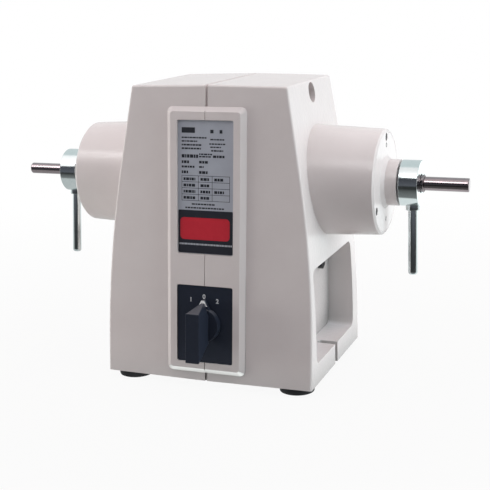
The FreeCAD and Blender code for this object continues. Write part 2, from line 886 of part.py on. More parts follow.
def all_nodes():
    nodes = {}
    half = housing_half()
    nodes["housing_right"] = half.cut(gland_hole())
    nodes["housing_left"] = mirrored(half)
    both_sides(nodes, "end_shield", end_shield())
    both_sides(nodes, "shield_screws", shield_screws())
    both_sides(nodes, "bearing_outer", bearing_outer())
    both_sides(nodes, "bearing_inner", bearing_inner())
    both_sides(nodes, "ball_row", ball_row())
    nodes["bearing_spacer"] = bearing_washer()
    nodes["preload_spring"] = mirrored(bearing_washer())
    both_sides(nodes, "lip_seal", lip_seal())
    both_sides(nodes, "cam_nose", cam_nose())
    nodes["push_sleeve_right"] = push_sleeve(shaft_radius_right)
    nodes["push_sleeve_left"] = mirrored(push_sleeve(shaft_radius_left))
    both_sides(nodes, "cam_pins", cam_pins())
    both_sides(nodes, "ejector_collar", ejector_collar())
    both_sides(nodes, "ejector_lever", ejector_lever())
    nodes["spindle"] = spindle()
    nodes["rotor_core"] = rotor_core()
    nodes["rotor_end_rings"] = rotor_end_rings()
    nodes["stator_core"] = stator_core()
    both_sides(nodes, "winding", winding())
    nodes["name_plate"] = name_plate()
    nodes["switch_plate"] = switch_plate()
    nodes["switch_body"] = switch_body()
    nodes["switch_spindle"] = switch_spindle()
    nodes["switch_knob"] = switch_knob()
    nodes["feet"] = feet()
    nodes["foot_studs"] = foot_studs()
    nodes["base_plate"] = base_plate()
    nodes["tie_bolts"] = tie_bolts()
    nodes["tie_nuts"] = tie_nuts()
    nodes["run_capacitor"] = run_capacitor()
    nodes["capacitor_clip"] = capacitor_clip()
    nodes["terminal_block"] = terminal_block()
    nodes["earth_screw"] = earth_screw()
    nodes["cable_gland"] = cable_gland()
    nodes["gland_nut"] = gland_nut()
    return nodes


def export(nodes):
    os.makedirs("parts", exist_ok=True)
    for name, shape in nodes.items():
        placed = shape.copy()
        placed.translate(V(0, spindle_y, 0))
        placed.exportStep("parts/" + name + ".step")


export(all_nodes())
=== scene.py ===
"""Finishes and fine forms of a two-spindle polishing lathe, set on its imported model. Metres."""
import json
import math

import bmesh
import bpy
from mathutils import Matrix, Quaternion, Vector


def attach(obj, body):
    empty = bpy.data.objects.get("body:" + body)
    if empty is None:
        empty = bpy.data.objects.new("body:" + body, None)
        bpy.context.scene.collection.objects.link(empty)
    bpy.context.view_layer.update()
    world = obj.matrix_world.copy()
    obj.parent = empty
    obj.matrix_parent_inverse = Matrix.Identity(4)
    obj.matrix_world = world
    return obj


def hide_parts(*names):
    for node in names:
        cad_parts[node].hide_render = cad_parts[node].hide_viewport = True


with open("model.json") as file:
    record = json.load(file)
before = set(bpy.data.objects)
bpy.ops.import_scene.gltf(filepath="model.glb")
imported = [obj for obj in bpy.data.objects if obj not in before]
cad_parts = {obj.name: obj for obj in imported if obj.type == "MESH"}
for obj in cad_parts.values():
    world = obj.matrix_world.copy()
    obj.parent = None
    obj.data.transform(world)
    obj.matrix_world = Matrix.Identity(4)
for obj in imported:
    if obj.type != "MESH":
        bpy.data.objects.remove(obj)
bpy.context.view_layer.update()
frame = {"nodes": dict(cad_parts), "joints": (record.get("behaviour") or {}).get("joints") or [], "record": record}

MM = 0.001
sides = (("right", 1), ("left", -1))

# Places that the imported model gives
joints = {joint["name"]: joint for joint in frame["joints"]}
spindle_point = Vector(joints["spindle_spin"]["pos_m"])
knob_point = Vector(joints["speed_switch"]["pos_m"])
front_normal = Vector(joints["speed_switch"]["axis"]).normalized()
front_up = front_normal.cross(Vector((1, 0, 0)))

# From (across, up, out) about the switch's axis in the front's plane to the model's frame
front_axes = Matrix((Vector((1, 0, 0)), front_up, front_normal)).transposed()
front = Matrix.Translation(knob_point) @ front_axes.to_4x4()
to_front = front.inverted()

# Camera and the point that the lamps aim at, in the model's frame
camera_place = Vector((0.4135, -1.0528, 0.3998))
camera_target = Vector((0.0081, 0.0127, 0.1305))
camera_roll = -1.35         # degrees
camera_lens = 79.2          # mm
camera_sensor = 36.0        # mm wide
camera_shift = (0.00224, -0.0005)
lamp_target = Vector((0, 0, 0.15))

# Spindle line, distances from the middle of the machine and radii, millimetres
collar_start = 181.8
collar_end = 201.2
collar_radius = 23.4
collar_web = 2.7
nose_radius = 17.0
nose_bore = 12.3
running_gap = 0.3           # between the nose and what runs on it or in it
neck_end = 180.0
sleeve_start = 186.0
sleeve_end = 204.8
sleeve_radius = 9.2
sleeve_flange = 4.0
sleeve_waist = 8.3
sleeve_clearance = 0.5
lip_length = 1.2
shaft_radius = {"right": 7.0, "left": 6.0}
shaft_tip = 249.5
shaft_bend = 1.3            # rounding of the working ends
shaft_relief = 0.2          # depth of the relief behind the working ends
relief_end = 205.0
core_seat_end = 158.0
core_seat_radius = 12.0
bearing_seat_radius = 8.5
lever_place = 193.0
lever_radius = 4.8
lever_seat = 20.8
lever_drop = 94.0
lever_tip = 3.2             # length of the rounded tip
lever_splay = 1.5           # degrees outwards
lever_rest = 3.5            # degrees that the lever hangs forward at rest
boss_radius = 7.2
boss_end = 27.6
boss_edge = 0.9
cover_face = 165.0
jack_circle = 38.0

# Front panel, in the plane of the panel and measured from the switch's axis, millimetres
panel_face = 4.5
recess_half_width = 30.5
name_bottom = 72.2
name_top = 207.4
name_floor = 1.1
plate_thickness = 1.0
plate_gap = 0.4
band_height = 44.5
band_print = 0.05           # thickness of the dark band and of the red bar
fine_print = 0.04           # thickness of the blocks and rules
switch_bottom = -40.2
switch_top = 40.0
switch_floor = 0.5
switch_thickness = 3.0
mark_radius = 29.0
mark_shift = (-0.9, -0.4)
mark_size = 6.5

# Rounding and shading
edge_angle = math.radians(32)       # sharper edges than this are rounded
sharp_angle = math.radians(35)      # sharper edges than this stay sharp in the shading


# ---------------------------------------------------------------- nodes


def srgb(code):
    """Linear colour of a hex sRGB code such as D0CBC6."""
    channels = [int(code[k:k + 2], 16) / 255 for k in (0, 2, 4)]
    linear = [c / 12.92 if c <= 0.04045 else ((c + 0.055) / 1.055) ** 2.4 for c in channels]
    return (*linear, 1.0)


def add(tree, kind, inputs=(), **settings):
    """Adds a node, sets its settings, and fills its sockets with values or links."""
    made = tree.nodes.new(kind)
    for key, value in settings.items():
        setattr(made, key, value)
    for key, value in dict(inputs).items():
        if isinstance(value, bpy.types.NodeSocket):
            tree.links.new(value, made.inputs[key])
        else:
            made.inputs[key].default_value = value
    return made


def maths(tree, operation, *values):
    return add(tree, "ShaderNodeMath", enumerate(values), operation=operation).outputs[0]


def mapped(tree, value, start, end, low=0.0, high=1.0):
    """Number that runs from low to high while a value runs from start to end, and no further."""
    return add(tree, "ShaderNodeMapRange", {
        "Value": value, "From Min": start, "From Max": end,
        "To Min": low, "To Max": high}).outputs["Result"]


def between(tree, factor, low, high):
    """Number that runs from low to high with a factor of 0 to 1."""
    return mapped(tree, factor, 0.0, 1.0, low, high)


def blended(tree, factor, first, second):
    """Colour between two others, each a hex code or a link, by a factor of 0 to 1."""
    first, second = (srgb(c) if isinstance(c, str) else c for c in (first, second))
    return add(tree, "ShaderNodeMix", {"Factor": factor, "A": first, "B": second},
               data_type="RGBA").outputs["Result"]


def separated(tree, vector):
    """The X, Y and Z of a vector."""
    return add(tree, "ShaderNodeSeparateXYZ", {"Vector": vector}).outputs


def facing_of(tree):
    """The X, Y and Z of the direction in which the surface faces."""
    return separated(tree, add(tree, "ShaderNodeTexCoord").outputs["Normal"])


def noise(tree, coordinates, feature, detail=2.0):
    """Noise of a feature size in millimetres."""
    return add(tree, "ShaderNodeTexNoise", {
        "Vector": coordinates, "Scale": 1 / (feature * MM), "Detail": detail}).outputs["Fac"]


def stretched_noise(tree, coordinates, scale):
    """Noise in coordinates scaled by a factor of their own along X, Y and Z."""
    along = add(tree, "ShaderNodeMapping", {"Vector": coordinates, "Scale": scale})
    return add(tree, "ShaderNodeTexNoise", {
        "Vector": along.outputs["Vector"], "Scale": 1.0, "Detail": 2.0}).outputs["Fac"]


def varied_colour(tree, coordinates, dark, light, feature):
    """Colour that wanders between two codes in patches of about a size in millimetres."""
    return blended(tree, noise(tree, coordinates, feature, 3.0), dark, light)


def bump(tree, coordinates, feature, depth, detail=2.0, below=None):
    """Bump from noise of a feature size and depth in millimetres, over another bump if given."""
    inputs = {"Height": noise(tree, coordinates, feature, detail),
              "Distance": depth * MM, "Strength": 1.0}
    if below is not None:
        inputs["Normal"] = below
    return add(tree, "ShaderNodeBump", inputs).outputs["Normal"]


def path_and_seen(tree):
    """Light path, and 1 for rays that come from the camera, straight or through a clear piece."""
    path = add(tree, "ShaderNodeLightPath").outputs
    return path, maths(tree, "MAXIMUM", path["Is Camera Ray"], path["Is Transmission Ray"])


def mixed_shader(tree, factor, first, second):
    return add(tree, "ShaderNodeMixShader", {0: factor, 1: first.outputs[0], 2: second.outputs[0]})


# ---------------------------------------------------------------- finishes


def new_material(name):
    """Empty material, its node tree and its object coordinates."""
    material = bpy.data.materials.new(name)
    material.use_nodes = True
    tree = material.node_tree
    tree.nodes.clear()
    coordinates = add(tree, "ShaderNodeTexCoord").outputs["Object"]
    return material, tree, coordinates


def finish_material(tree, shader):
    add(tree, "ShaderNodeOutputMaterial", {"Surface": shader.outputs[0]})


def principled(material, tree, inputs):
    """Closes a material with a principled surface."""
    finish_material(tree, add(tree, "ShaderNodeBsdfPrincipled", inputs))
    return material


def baked_enamel():
    """Stoved enamel over a sand casting: satin, softly lumpy, with a fine wrinkle in the paint.

    A thin clear coat, lumpier still, gives it its gloss. Low in the closed-in corners and bays the
    colour holds painted shade, greyest on what faces sideways, and painted light on what faces up.
    """
    material, tree, place = new_material("baked_enamel")
    plain_colour = varied_colour(tree, place, "D8CFCE", "DFD7D6", 26.0)

    # How closed in the place is, how low, and how far it faces sideways or up
    reach, shade_full_below, shade_gone_above = 55.0, 0.105, 0.125
    open_share = add(tree, "ShaderNodeAmbientOcclusion", {"Distance": reach * MM},
                     samples=8).outputs["AO"]
    closed_in = mapped(tree, open_share, 0.3, 0.85, 1.0, 0.0)
    low = mapped(tree, separated(tree, place)["Z"], shade_full_below, shade_gone_above, 1.0, 0.0)
    facing = facing_of(tree)
    sideways = mapped(tree, maths(tree, "ABSOLUTE", facing["X"]), 0.8, 0.98)
    upward = mapped(tree, facing["Z"], 0.6, 0.95)

    # Painted shade: the smear colours grey low, closed-in places, darkest where they face sideways. Painted light:
    # where such places face up they turn pale.
    smear = blended(tree, maths(tree, "MULTIPLY", sideways, low), "C8C4C3", "7C7876")
    painted_bay_shading = blended(tree, upward, smear, "EDECEF")
    colour = blended(tree, maths(tree, "MULTIPLY", closed_in, low), plain_colour, painted_bay_shading)

    cast = bump(tree, place, 9.0, 0.10)
    # The real wrinkle is about 0.4 mm; drawn at 1.1 mm so that it shows.
    wrinkle = bump(tree, place, 1.1, 0.045, 3.0, cast)
    peel = bump(tree, place, 4.0, 0.35)
    return principled(material, tree, {
        "Base Color": colour, "Roughness": between(tree, noise(tree, place, 40.0), 0.40, 0.52),
        "Normal": wrinkle, "IOR": 1.5,
        "Coat Weight": 0.7, "Coat Roughness": 0.2, "Coat Normal": peel})


def turned_metal(name, dark, light, roughness, ring=0.35):
    """Metal turned on a lathe: fine rings along the spindle line and faint handling smears."""
    ring_depth, smear = 0.004, 7.0
    material, tree, place = new_material(name)
    rings = stretched_noise(tree, place, (1 / (ring * MM), 1.0, 1.0))
    normal = add(tree, "ShaderNodeBump", {
        "Height": rings, "Distance": ring_depth * MM, "Strength": 1.0}).outputs["Normal"]
    return principled(material, tree, {
        "Base Color": varied_colour(tree, place, dark, light, smear), "Metallic": 1.0,
        "Roughness": between(tree, rings, roughness * 0.8, roughness * 1.25), "Normal": normal})


def sheet_metal(name, dark, light, roughness, metallic=1.0):
    """Rolled or stamped metal with a fine straight grain along X, less metallic if anodised."""
    grain_length, grain = 25, 0.5
    material, tree, place = new_material(name)
    lines = stretched_noise(
        tree, place, (1 / (grain_length * MM), 1 / (grain * MM), 1 / (grain * MM)))
    return principled(material, tree, {
        "Base Color": varied_colour(tree, place, dark, light, 12.0), "Metallic": metallic,
        "Roughness": between(tree, lines, roughness * 0.8, roughness * 1.3)})


def moulded(name, dark, light, roughness, grain=0.6, depth=0.01):
    """Moulded plastic or rubber with the fine grain of its mould; also the prints."""
    material, tree, place = new_material(name)
    return principled(material, tree, {
        "Base Color": varied_colour(tree, place, dark, light, 5.0),
        "Normal": bump(tree, place, grain, depth), "IOR": 1.5,
        "Roughness": between(tree, noise(tree, place, 11.0), roughness * 0.85, roughness * 1.15)})


def phenolic_pale_on_top():
    """Black phenolic of the switch; what faces up is painted paler and rougher in specks, as painted light."""
    material, tree, place = new_material("phenolic_pale_on_top")
    plain_colour = varied_colour(tree, place, "252A36", "2B303D", 5.0)
    upward = mapped(tree, facing_of(tree)["Z"], 0.55, 0.95)
    specks = between(tree, noise(tree, place, 1.6, 3.0), 0.55, 0.85)
    # Painted light: the pale colour on what faces up, in specks.
    cover = maths(tree, "MULTIPLY", upward, specks)
    return principled(material, tree, {
        "Base Color": blended(tree, cover, plain_colour, "5E5E64"), "IOR": 1.38,
        "Normal": bump(tree, place, 0.6, 0.01), "Roughness": between(tree, cover, 0.28, 0.7)})


# A wave texture repeats every 0.314 of its unit, so wires and sheets lie about 2 mm apart.
wave_unit = 6.3


def wound_copper():
    """Enamelled wire laid side by side round the end turns, under varnish."""
    material, tree, place = new_material("enamelled_copper")
    centred = add(tree, "ShaderNodeMapping", {
        "Vector": place, "Location": (0, -spindle_point.y, -spindle_point.z)})
    wires = add(tree, "ShaderNodeTexWave", {
        "Vector": centred.outputs["Vector"], "Scale": 1 / (wave_unit * MM), "Distortion": 1.5},
        wave_type="RINGS", rings_direction="X").outputs["Fac"]
    raised = add(tree, "ShaderNodeBump", {"Height": wires, "Distance": 0.3 * MM})
    return principled(material, tree, {
        "Base Color": blended(tree, wires, "4A1F0C", "A5542A"), "Metallic": 0.6,
        "Roughness": 0.35, "Normal": raised.outputs["Normal"]})


def laminated_core():
    """Stack of varnished electrical sheets: fine dark lines across the spindle line."""
    material, tree, place = new_material("laminated_core")
    sheets = add(tree, "ShaderNodeTexWave", {"Vector": place, "Scale": 1 / (wave_unit * MM)},
                 bands_direction="X").outputs["Fac"]
    return principled(material, tree, {
        "Base Color": blended(tree, sheets, "3B3C40", "7C7D82"),
        "Metallic": 0.8, "Roughness": 0.45})


enamel = baked_enamel()
zinc = turned_metal("bright_zinc_plate", "D9E2E3", "E6EEEE", 0.13)
ground_steel = turned_metal("ground_spindle_steel", "968B8E", "ACA1A4", 0.16, ring=0.25)
turned_steel = turned_metal("turned_steel", "727276", "8A8A8E", 0.24)
blackened = turned_metal("blackened_screw_steel", "26272A", "3A3B3F", 0.38)
aluminium = turned_metal("plain_aluminium", "A2A4A8", "B7B9BC", 0.32)
core = laminated_core()
copper = wound_copper()
# Bright metal for the painted highlight along the foot of the front panel.
glint_finish = sheet_metal("bright_metal_painted_glint", "E4E3E1", "F0EFED", 0.3)
anodised = sheet_metal("satin_anodised_plate", "B3B7C2", "C2C6D0", 0.42, metallic=0.3)
galvanised = sheet_metal("galvanised_sheet", "8D9094", "A6A9AC", 0.42)
brass = sheet_metal("plain_brass", "A98743", "C4A35C", 0.3)
phenolic = phenolic_pale_on_top()
rubber = moulded("black_rubber", "131316", "1B1B1F", 0.72, grain=0.9, depth=0.03)
polyamide = moulded("pale_polyamide", "C9C4B5", "D6D2C5", 0.5)
gland_nylon = moulded("black_polyamide", "17181B", "212226", 0.42)
mark_ink = moulded("white_mark_ink", "C9CBD0", "DCDDE0", 0.55)
pointer_paint = moulded("white_pointer_paint", "F4F4F5", "FBFBFB", 0.45)
dark_print = moulded("dark_print", "22252D", "2B2E38", 0.4)
red_print = moulded("red_print", "C02233", "CB2B3B", 0.4)
ruled_print = moulded("ruled_print", "20222A", "2B2E37", 0.45)
pale_print = moulded("pale_print", "A6A9B1", "B4B7BE", 0.45)

slot_finish = {
    "housing_paint": enamel, "black_screws": blackened, "bearing_steel": turned_steel,
    "seal_rubber": rubber, "turned_steel": turned_steel, "zinc_plate": zinc,
    "ground_steel": ground_steel, "core_steel": core, "cast_aluminium": aluminium,
    "enamelled_copper": copper, "name_plate": anodised, "switch_black": phenolic,
    "foot_rubber": rubber, "base_sheet": galvanised, "terminal_plastic": polyamide,
    "terminal_brass": brass, "gland_plastic": gland_nylon}
slot_of = {part["node"]: part["material_slot"] for part in frame["record"]["subparts"]}

for node_name, cad_object in frame["nodes"].items():
    cad_object.data.materials.clear()
    cad_object.data.materials.append(slot_finish[slot_of[node_name]])


# ---------------------------------------------------------------- making pieces


def piece_from(name, mesh):
    piece = bpy.data.objects.new(name, mesh)
    bpy.context.scene.collection.objects.link(piece)
    return piece


def piece_of(name, points, faces):
    mesh = bpy.data.meshes.new(name)
    mesh.from_pydata([Vector(p) for p in points], [], faces)
    shape = bmesh.new()
    shape.from_mesh(mesh)
    bmesh.ops.remove_doubles(shape, verts=shape.verts, dist=0.001 * MM)
    bmesh.ops.recalc_face_normals(shape, faces=shape.faces)
    shape.to_mesh(mesh)
    shape.free()
    return piece_from(name, mesh)


def evaluated_mesh(piece):
    """New mesh of a piece as its modifiers or its text make it."""
    bpy.context.view_layer.update()
    graph = bpy.context.evaluated_depsgraph_get()
    return bpy.data.meshes.new_from_object(piece.evaluated_get(graph))


def baked(piece):
    """Replaces a piece's mesh by what its modifiers make of it."""
    mesh = evaluated_mesh(piece)
    piece.modifiers.clear()
    piece.data = mesh
    return mesh


def settle(piece):
    """Shades curved stretches smooth, while large faces stay flat beside their rounded edges."""
    mesh = baked(piece)
    mesh.polygons.foreach_set("use_smooth", [True] * len(mesh.polygons))
    mesh.set_sharp_from_angle(angle=sharp_angle)
    even = piece.modifiers.new("even", "WEIGHTED_NORMAL")
    even.keep_sharp = True
    even.weight = 80
    baked(piece)
    return piece


def soften(piece, width, segments=2):
    """Rounds the edges of a piece by a width in millimetres."""
    bevel = piece.modifiers.new("soften", "BEVEL")
    bevel.width = width * MM
    bevel.segments = segments
    bevel.limit_method = "ANGLE"
    bevel.angle_limit = edge_angle
    bevel.use_clamp_overlap = True
    return piece


def dress(piece, body, slot, material, replaced=()):
    """Gives a finished piece its material and its body, and hides the nodes that it stands for."""
    piece.data.materials.clear()
    piece.data.materials.append(material)
    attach(piece, body)
    if replaced:
        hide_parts(*replaced)
    return piece


def body_of(node_name):
    for body, nodes in frame["record"]["behaviour"]["bodies"].items():
        if node_name in nodes:
            return body
    raise KeyError(node_name)


def refined(node_name, name, width, wide=None, factor=2.0):
    """Copy of a CAD node with its edges rounded by a width in millimetres.

    Edges for which wide(edge) is true are rounded by the width times the factor.
    """
    mesh = frame["nodes"][node_name].data.copy()
    mesh.name = name
    shape = bmesh.new()
    shape.from_mesh(mesh)
    bmesh.ops.remove_doubles(shape, verts=shape.verts, dist=0.002 * MM)
    flat = math.radians(0.2)
    bmesh.ops.dissolve_limit(shape, angle_limit=flat, verts=shape.verts, edges=shape.edges)
    if wide:
        weight = shape.edges.layers.float.new("bevel_weight_edge")
        for edge in shape.edges:
            if edge.calc_face_angle(0.0) > edge_angle:
                edge[weight] = 1.0 if wide(edge) else 1.0 / factor
    shape.to_mesh(mesh)
    shape.free()
    if mesh.has_custom_normals:
        mesh.attributes.remove(mesh.attributes["custom_normal"])
    piece = piece_from(name, mesh)
    bevel = soften(piece, width * factor if wide else width).modifiers[0]
    if wide:
        bevel.limit_method = "WEIGHT"
        bevel.segments = 3
    settle(piece)
    slot = slot_of[node_name]
    return dress(piece, body_of(node_name), slot, slot_finish[slot], (node_name,))


def revolved(name, profile, closed, segments, place):
    """Piece from (distance, radius) points; place(distance, radius, angle) puts each of them."""
    points = []
    for k in range(segments):
        angle = 2 * math.pi * k / segments
        points += [place(distance, radius, angle) for distance, radius in profile]
    faces = []
    count = len(profile)
    last = count if closed else count - 1
    for k in range(segments):
        here, there = k * count, (k + 1) % segments * count
        for j in range(last):
            following = (j + 1) % count
            faces.append((here + j, here + following, there + following, there + j))
    return piece_of(name, points, faces)


def turned(name, profile, sign=1, closed=True, segments=96):
    """Piece turned about the spindle line from (distance, radius) points in millimetres."""
    def place(x, radius, angle):
        return (sign * x * MM, spindle_point.y + radius * MM * math.cos(angle),
                spindle_point.z + radius * MM * math.sin(angle))
    return revolved(name, profile, closed, segments, place)


def arc(x, radius, bend, start, end):
    """Points of a rounded corner about (x, radius), from one angle to another in degrees."""
    steps = 4
    angles = [math.radians(start + (end - start) * k / steps) for k in range(steps + 1)]
    return [(x + bend * math.cos(a), radius + bend * math.sin(a)) for a in angles]


# ---------------------------------------------------------------- housing and shields


def on_recess_rim(edge):
    """Whether an edge runs round the mouth of the name recess or of the switch recess."""
    near, level = 1.0, 0.05
    for vert in edge.verts:
        u, v, w = (to_front @ vert.co) / MM
        if abs(w - panel_face) > level or abs(u) > recess_half_width + near:
            return False
        in_name = name_bottom - near < v < name_top + near
        in_switch = switch_bottom - near < v < switch_top + near
        if not (in_name or in_switch):
            return False
    # An edge that lies in the parting line is no part of the rim.
    return abs(edge.verts[0].co.x) > near * MM or abs(edge.verts[1].co.x) > near * MM


def housing():
    for side, _ in sides:
        refined("housing_" + side, "cast_half_" + side, 0.6, on_recess_rim, 2.3)
        refined("end_shield_" + side, "end_cover_" + side, 0.25)


def panel_foot_glint(side):
    """Bright metal skin on the lower slope of the raised panel, for a painted highlight along its foot."""
    lift, thickness = 0.02, 0.015
    half_width, below_switch = 44, 2
    shape = bmesh.new()
    shape.from_mesh(bpy.data.objects["cast_half_" + side].data)
    turn = to_front.to_3x3()
    others = []
    for face in shape.faces:
        u, v, w = (to_front @ face.calc_center_median()) / MM
        _, up, out = turn @ face.normal
        sloping = up < -0.3 and 0.35 < out < 0.9
        at_foot = v < switch_bottom - below_switch and abs(u) < half_width and 0 < w < panel_face
        if not (sloping and at_foot):
            others.append(face)
    bmesh.ops.delete(shape, geom=others, context="FACES")
    for vert in shape.verts:
        vert.co += vert.normal * lift * MM
    mesh = bpy.data.meshes.new("panel_foot_glint_" + side)
    shape.to_mesh(mesh)
    shape.free()
    piece = piece_from("panel_foot_glint_" + side, mesh)
    skin = piece.modifiers.new("skin", "SOLIDIFY")
    skin.thickness = thickness * MM
    skin.offset = -1.0
    dress(settle(piece), "machine", "cast_aluminium", glint_finish)


def shield_hardware(side, sign):
    """Blackened grub screws in the jacking holes, above and below the neck; their dark faces also stand in for the
    shade inside the holes: painted shade.
    """
    radius, socket, depth = 2.4, 1.3, 0.8
    face = cover_face + 0.06
    back, floor = face - 1.0, face - depth
    profile = [(back, 0.0), (back, radius), (face, radius), (face, socket), (floor, socket),
               (floor, 0.0)]
    for name, height in (("upper", jack_circle), ("lower", -jack_circle)):
        piece = turned("hole_shade_grub_screw_" + name + "_" + side, profile, sign, closed=False, segments=24)
        piece.data.transform(Matrix.Translation((0, 0, height * MM)))
        dress(settle(piece), "machine", "black_screws", blackened)


housing()
for side_name, side_sign in sides:
    panel_foot_glint(side_name)
    shield_hardware(side_name, side_sign)


# ---------------------------------------------------------------- spindle line


def ejector_collar(side, sign):
    """Plated ring that turns on the neck, with small rounded edges."""
    edge = 0.7
    rim = collar_radius - edge
    inside = nose_radius + running_gap
    mouth = sleeve_radius + 0.4
    chamfer = 0.5
    web = collar_end - collar_web
    profile = [(collar_start, inside)]
    profile += arc(collar_start + edge, rim, edge, 180, 90)
    profile += arc(collar_end - edge, rim, edge, 90, 0)
    profile += [(collar_end, mouth + chamfer), (collar_end - chamfer, mouth),
                (web, mouth), (web, inside)]
    piece = settle(turned("plated_collar_" + side, profile, sign, segments=128))
    return dress(piece, "ejector_" + side, "zinc_plate", zinc, ("ejector_collar_" + side,))


def lever_line(sign):
    """From a bar that hangs down from the origin to the lever's place at rest."""
    axis = Matrix.Translation((0, spindle_point.y, spindle_point.z))
    swing = axis @ Matrix.Rotation(math.radians(-lever_rest), 4, "X") @ axis.inverted()
    seat = Matrix.Translation((sign * lever_place * MM, spindle_point.y,
                               spindle_point.z - lever_seat * MM))
    splay = Matrix.Rotation(math.radians(-sign * lever_splay), 4, "Y")
    return swing @ seat @ splay


def hanging(name, profile, sign):
    """Piece turned about the lever's line from (drop, radius) points in millimetres."""
    def place(drop, radius, angle):
        return Vector((radius * math.cos(angle), radius * math.sin(angle), -drop)) * MM
    piece = revolved(name, profile, False, 40, place)
    piece.data.transform(lever_line(sign))
    return settle(piece)


def ejector_lever(side, sign):
    """Plain plated rod with a rounded tip, splayed outwards from its boss on the collar."""
    steps = 6
    tip_narrowing = 0.62
    length = lever_drop - lever_seat
    profile = [(0.0, 0.0), (0.0, lever_radius), (length - lever_tip, lever_radius)]
    for k in range(1, steps + 1):
        a = math.pi / 2 * k / steps
        profile.append((length - lever_tip + lever_tip * math.sin(a),
                        lever_radius - lever_tip * tip_narrowing * (1 - math.cos(a))))
    profile.append((length, 0.0))
    rod = hanging("lever_rod_" + side, profile, sign)
    dress(rod, "ejector_" + side, "zinc_plate", zinc, ("ejector_lever_" + side,))
    end = boss_end - lever_seat
    inset = boss_edge * 0.3
    boss = hanging("lever_boss_" + side, [
        (0.0, lever_radius), (0.0, boss_radius), (end - boss_edge, boss_radius),
        (end - inset, boss_radius - inset), (end, boss_radius - boss_edge),
        (end, lever_radius), (0.0, lever_radius)], sign)
    dress(boss, "ejector_" + side, "zinc_plate", zinc)


def push_sleeve(side, sign):
    """Steel sleeve whose sharp lip stands out of the collar round the spindle."""
    bore = shaft_radius[side] + sleeve_clearance
    flange_end = sleeve_start + sleeve_flange
    flange_radius = nose_bore - running_gap
    flare, rim_start, rim_end = 2, 0.2, 0.5
    lip = sleeve_end - lip_length
    profile = [(sleeve_start, bore), (sleeve_start, flange_radius), (flange_end, flange_radius),
               (flange_end, sleeve_waist), (lip - flare, sleeve_waist), (lip, sleeve_radius - 0.1),
               (lip + rim_start, sleeve_radius), (lip + rim_end, sleeve_radius),
               (sleeve_end, bore + 0.6), (sleeve_end, bore)]
    piece = settle(turned("ejector_sleeve_" + side, profile, sign))
    return dress(piece, "push_sleeve_" + side, "turned_steel", ground_steel,
                 ("push_sleeve_" + side,))


def spindle():
    """One ground shaft, with rounded ends on both working ends."""
    right, left = shaft_radius["right"], shaft_radius["left"]
    bend = shaft_bend
    profile = [(-shaft_tip, 0.0)]
    profile += arc(-shaft_tip + bend, left - bend, bend, 180, 90)
    profile += [(-relief_end, left), (-relief_end, left - shaft_relief),
                (-neck_end, left - shaft_relief), (-neck_end, bearing_seat_radius),
                (-core_seat_end, bearing_seat_radius), (-core_seat_end, core_seat_radius),
                (core_seat_end, core_seat_radius), (core_seat_end, bearing_seat_radius),
                (neck_end, bearing_seat_radius), (neck_end, right - shaft_relief),
                (relief_end, right - shaft_relief), (relief_end, right)]
    profile += arc(shaft_tip - bend, right - bend, bend, 90, 0)
    profile += [(shaft_tip, 0.0)]
    piece = settle(turned("ground_spindle", profile, closed=False, segments=64))
    return dress(piece, "rotor", "ground_steel", ground_steel, ("spindle",))


for side_name, side_sign in sides:
    ejector_collar(side_name, side_sign)
    ejector_lever(side_name, side_sign)
    push_sleeve(side_name, side_sign)
spindle()


# ---------------------------------------------------------------- front panel


def lofted(name, sections):
    """Closed piece on the front through outlines of equal count, each with its height in mm."""
    count = len(sections[0][0])
    points = [(u * MM, v * MM, w * MM) for outline, w in sections for u, v in outline]
    faces = [tuple(range(count))[::-1], tuple(range(len(points) - count, len(points)))]
    for k in range(len(sections) - 1):
        for j in range(count):
            here, next_one = k * count + j, k * count + (j + 1) % count
            faces.append((here, next_one, next_one + count, here + count))
    piece = piece_of(name, points, faces)
    piece.data.transform(front)
    return piece


def rounded_slab(name, box, radius, low, high):
    """Flat piece on the front with rounded corners, from a box (left, right, bottom, top)."""
    u0, u1, v0, v1 = box
    steps = 5
    corners = ((u1 - radius, v0 + radius, -90), (u1 - radius, v1 - radius, 0),
               (u0 + radius, v1 - radius, 90), (u0 + radius, v0 + radius, 180))
    outline = []
    for u, v, start in corners:
        for k in range(steps + 1):
            a = math.radians(start + 90 * k / steps)
            outline.append((u + radius * math.cos(a), v + radius * math.sin(a)))
    return lofted(name, [(outline, low), (outline, high)])


def printed_bars(name, bars, height, material):
    """Thin flat prints on the name plate, from boxes (left, right, bottom, top)."""
    points, faces = [], []
    for u0, u1, v0, v1 in bars:
        start = len(points)
        for w in (height, height + fine_print):
            points += [(u0 * MM, v0 * MM, w * MM), (u1 * MM, v0 * MM, w * MM),
                       (u1 * MM, v1 * MM, w * MM), (u0 * MM, v1 * MM, w * MM)]
        faces += [tuple(start + k for k in quad) for quad in (
            (3, 2, 1, 0), (4, 5, 6, 7), (0, 1, 5, 4), (1, 2, 6, 5), (2, 3, 7, 6), (3, 0, 4, 7))]
    piece = piece_of(name, points, faces)
    piece.data.transform(front)
    return dress(settle(piece), "machine", "name_plate", material)


def dashes(start, end, low, height, turn):
    """Row of short blocks of uneven widths, where a rating plate has a line of small print."""
    widths = (2.3, 3.2, 1.5, 2.7, 3.6, 1.9, 2.9)
    gap, shortest = 0.55, 1.0
    bars = []
    u = start
    while u < end - shortest:
        width = widths[turn % len(widths)]
        bars.append((u, min(u + width, end), low, low + height))
        u += width + gap
        turn += 1
    return bars


